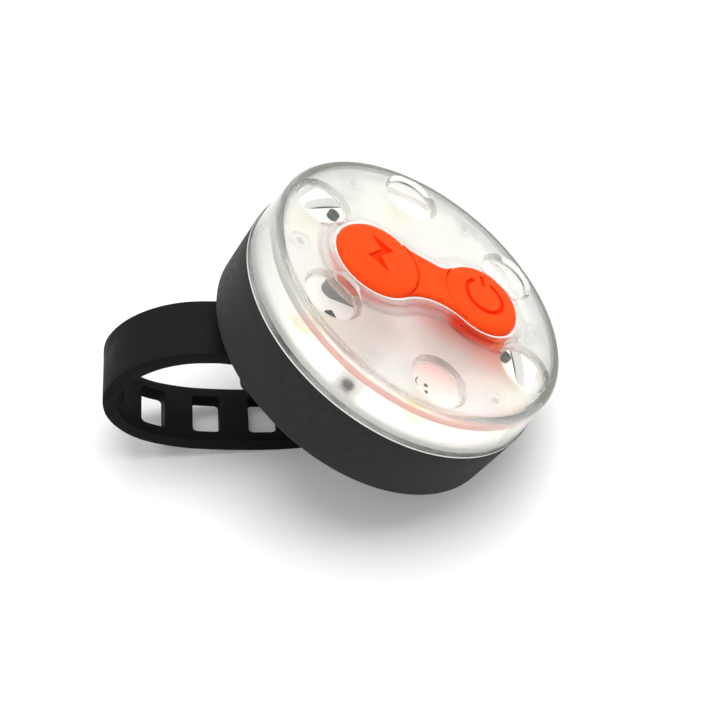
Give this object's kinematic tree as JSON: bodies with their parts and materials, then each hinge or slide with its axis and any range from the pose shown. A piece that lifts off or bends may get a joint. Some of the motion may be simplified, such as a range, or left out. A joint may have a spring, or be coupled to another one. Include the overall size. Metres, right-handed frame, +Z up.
{
  "type": "bike tail light",
  "caption": "Round rechargeable tail light for a bicycle, with a frosted clear cover, orange silicone port flap and power button, and a ladder strap that loops round a post.",
  "frame": {"origin": "centre of the bounding box on the table that the light rests on", "axes": "+X along the length, from the strap loop to the low edge of the light; +Y across; +Z up from the table; the lens axis leans from +Z towards +X"},
  "size_m": [0.0682, 0.05, 0.0413],
  "materials": {
    "housing_black": "matte",
    "cover_clear": "satin",
    "strap_black": "matte",
    "silicone_orange": "satin",
    "ring_red": "satin",
    "board_white": "satin",
    "steel_dark": "satin",
    "steel_bright": "polished",
    "white_plastic": "matte",
    "led_case": "gloss",
    "black_plastic": "matte",
    "battery_film": "satin",
    "foam_black": "matte",
    "lead_red": "satin"
  },
  "bodies": {
    "housing": {"rear_housing": "housing_black", "front_cover": "cover_clear", "silicone_base": "silicone_orange", "light_board": "board_white", "board_screws": "steel_dark", "reflector_tray": "white_plastic", "cushion_ring": "ring_red", "usb_shell": "steel_bright", "usb_insert": "black_plastic", "switch_body": "black_plastic", "switch_cover": "steel_bright", "battery": "battery_film", "battery_pad": "foam_black", "battery_lead_red": "lead_red", "battery_lead_black": "foam_black", "charge_chip": "black_plastic", "driver_chip": "black_plastic", "boost_coil": "black_plastic", "charge_led": "led_case", "strap": "strap_black", "strap_pin": "steel_bright", "cradle_pad": "foam_black", "led_1": "led_case", "led_resistor_1": "black_plastic", "led_2": "led_case", "led_resistor_2": "black_plastic", "led_3": "led_case", "led_resistor_3": "black_plastic", "led_4": "led_case", "led_resistor_4": "black_plastic", "led_5": "led_case", "led_resistor_5": "black_plastic", "led_6": "led_case", "led_resistor_6": "black_plastic"},
    "port_cover": {"port_cover": "silicone_orange"},
    "power_button": {"power_button": "silicone_orange"},
    "switch_plunger": {"switch_plunger": "black_plastic"}
  },
  "joints": [
    {"name": "port_cover_hinge", "type": "hinge", "parent": "housing", "child": "port_cover", "pos_m": [0.01334, 0, 0.03079], "axis": [0, 1, 0], "range_deg": [0, 105], "stiffness_Nm_per_rad": 0.0005},
    {"name": "power_button_press", "type": "slide", "parent": "housing", "child": "power_button", "axis": [-0.545, 0, -0.8384], "range_m": [0, 0.0005], "stiffness_N_per_m": 4000},
    {"name": "switch_plunger_press", "type": "slide", "parent": "housing", "child": "switch_plunger", "axis": [-0.545, 0, -0.8384], "range_m": [0, 0.0005]}
  ],
  "couplings": [
    {"joint": "switch_plunger_press", "follows": "power_button_press", "ratio": 1}
  ]
}
